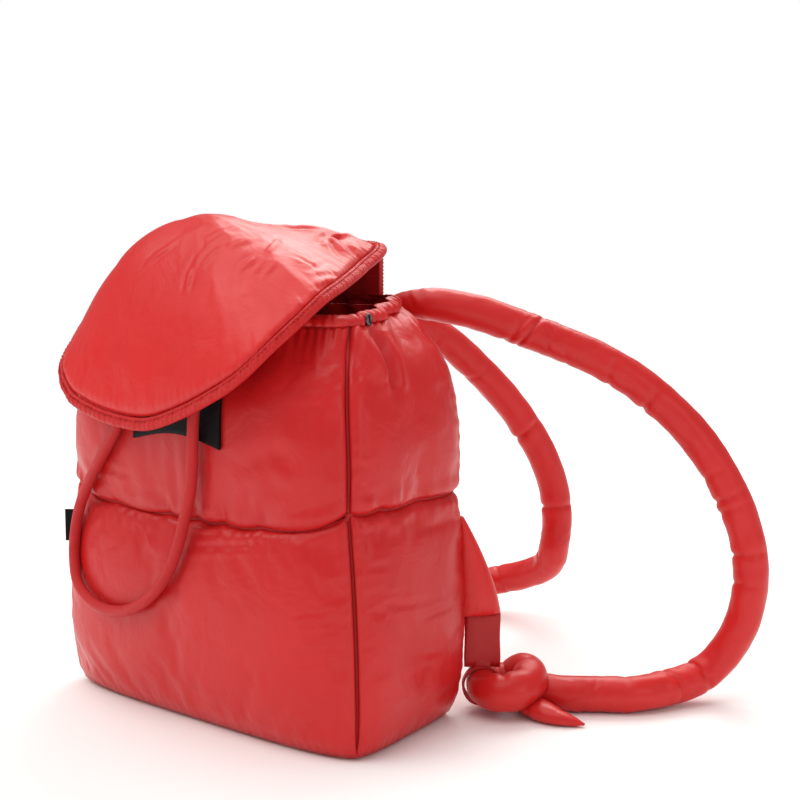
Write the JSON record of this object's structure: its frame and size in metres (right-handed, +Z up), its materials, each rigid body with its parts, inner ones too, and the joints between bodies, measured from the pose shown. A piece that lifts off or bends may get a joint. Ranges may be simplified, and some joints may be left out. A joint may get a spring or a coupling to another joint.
{
  "type": "quilted puffer backpack",
  "caption": "Soft puffer backpack with a padded dome flap, a drawstring mouth and two padded tube straps knotted at the bottom.",
  "frame": {"origin": "middle of the base panel's underside, on the surface that the bag stands on", "axes": "+Z up, the front with the drawstring faces -Y, +X is to the right seen from the front"},
  "size_m": [0.5149, 0.4215, 0.3486],
  "materials": {
    "nylon_body": "satin",
    "nylon_flap": "satin",
    "nylon_strap": "satin",
    "nylon_band": "matte",
    "cord": "matte",
    "black_trim": "matte",
    "dark_metal": "satin"
  },
  "bodies": {
    "root": {"base_panel": "nylon_body", "front_panel_lower": "nylon_body", "side_panel_right_lower": "nylon_body", "back_panel_lower": "nylon_body", "side_panel_left_lower": "nylon_body", "front_panel_upper": "nylon_body", "side_panel_right_upper": "nylon_body", "back_panel_upper": "nylon_body", "side_panel_left_upper": "nylon_body", "mouth_casing": "nylon_body", "flap_bridge": "nylon_flap", "flap_panel": "nylon_flap", "flap_binding": "nylon_flap", "closure_patch": "black_trim", "shoulder_strap_right": "nylon_strap", "shoulder_strap_left": "nylon_strap", "strap_wing_right": "nylon_strap", "strap_wing_left": "nylon_strap", "strap_loop_right": "nylon_band", "strap_loop_left": "nylon_band", "drawstring_loop": "cord", "cord_eyelet_right": "dark_metal", "cord_eyelet_left": "dark_metal", "corner_eyelet_right": "dark_metal", "corner_eyelet_left": "dark_metal", "side_label": "black_trim"}
  },
  "joints": []
}
